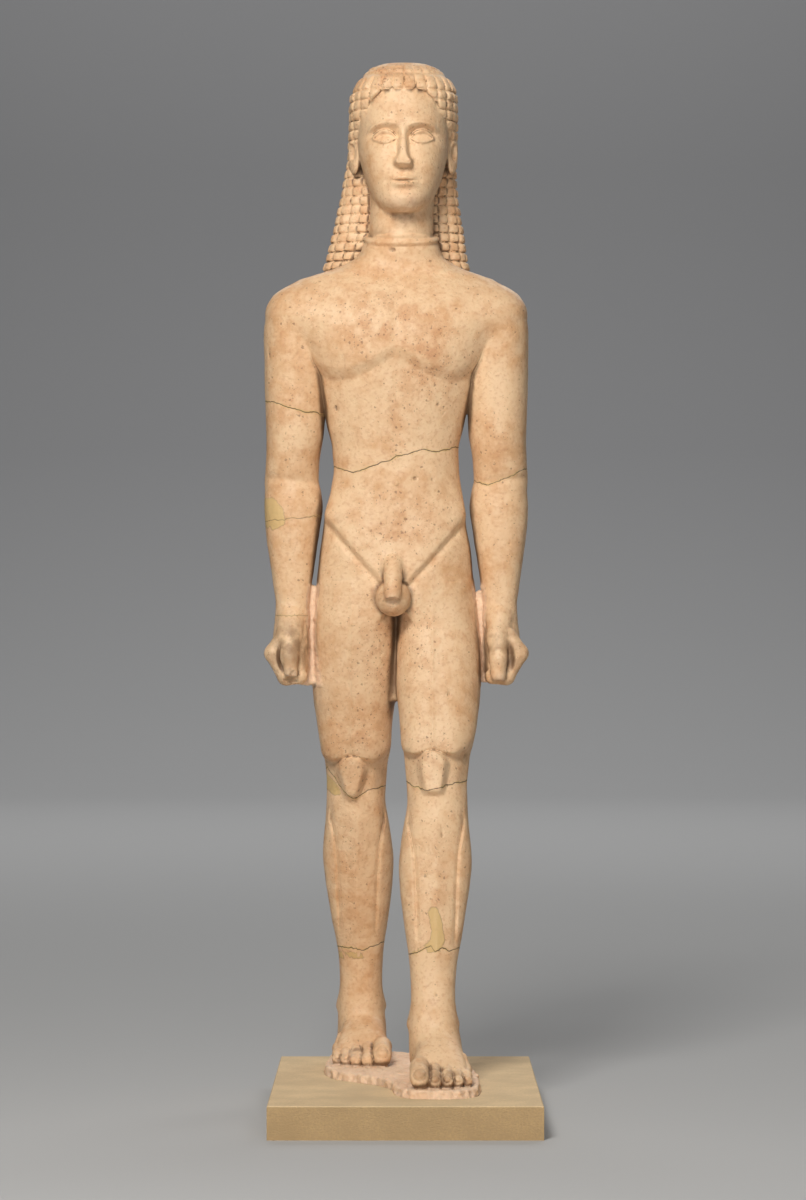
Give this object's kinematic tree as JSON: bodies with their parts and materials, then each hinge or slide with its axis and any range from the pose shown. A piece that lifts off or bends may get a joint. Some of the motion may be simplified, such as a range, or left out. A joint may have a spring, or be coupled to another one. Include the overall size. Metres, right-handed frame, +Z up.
{
  "type": "marble kouros statue",
  "caption": "Standing nude youth in marble with arms at the sides and one foot forward, let into a plain stone slab it stands on.",
  "frame": {"origin": "centre of the slab's underside", "axes": "+Z up along the figure's height, -Y the way the figure looks, +X towards the figure's left"},
  "size_m": [0.5245, 0.817, 2.023],
  "materials": {
    "marble": "weathered, once polished marble",
    "limestone": "finely tooled, matt"
  },
  "bodies": {
    "root": {"figure": "marble", "base_slab": "limestone"}
  },
  "joints": []
}
